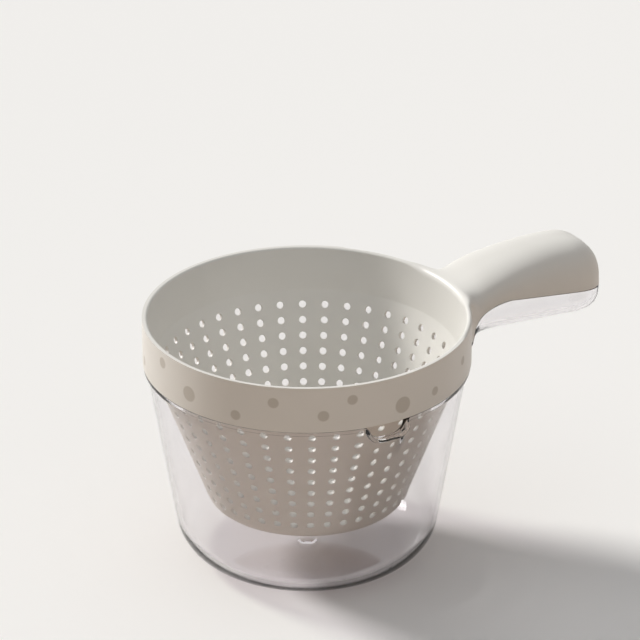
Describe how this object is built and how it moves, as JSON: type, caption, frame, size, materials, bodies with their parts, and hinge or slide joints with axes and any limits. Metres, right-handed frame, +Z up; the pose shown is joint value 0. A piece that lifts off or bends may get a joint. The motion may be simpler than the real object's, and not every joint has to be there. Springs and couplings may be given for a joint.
{
  "type": "colander bowl",
  "caption": "Round white perforated colander hanging by its band in a clear tapered bowl with a pouring notch, held and tipped by one side handle made of two nested shells.",
  "frame": {"origin": "centre of the bowl's flat base, where it stands on the table", "axes": "+Z up along the axis of bowl and basket, +X towards the tip of the handle, -Y towards the pouring notch"},
  "size_m": [0.2474, 0.1658, 0.1389],
  "materials": {
    "clear_plastic": "clear, polished",
    "white_plastic": "warm white, satin, with a few soft grey dots on the band"
  },
  "bodies": {
    "bowl": {"clear_bowl": "clear_plastic"},
    "colander": {"colander": "white_plastic"}
  },
  "joints": [
    {"name": "colander_lift", "type": "slide", "parent": "bowl", "child": "colander", "axis": [0, 0, 1], "range_m": [0, 0.1]}
  ]
}
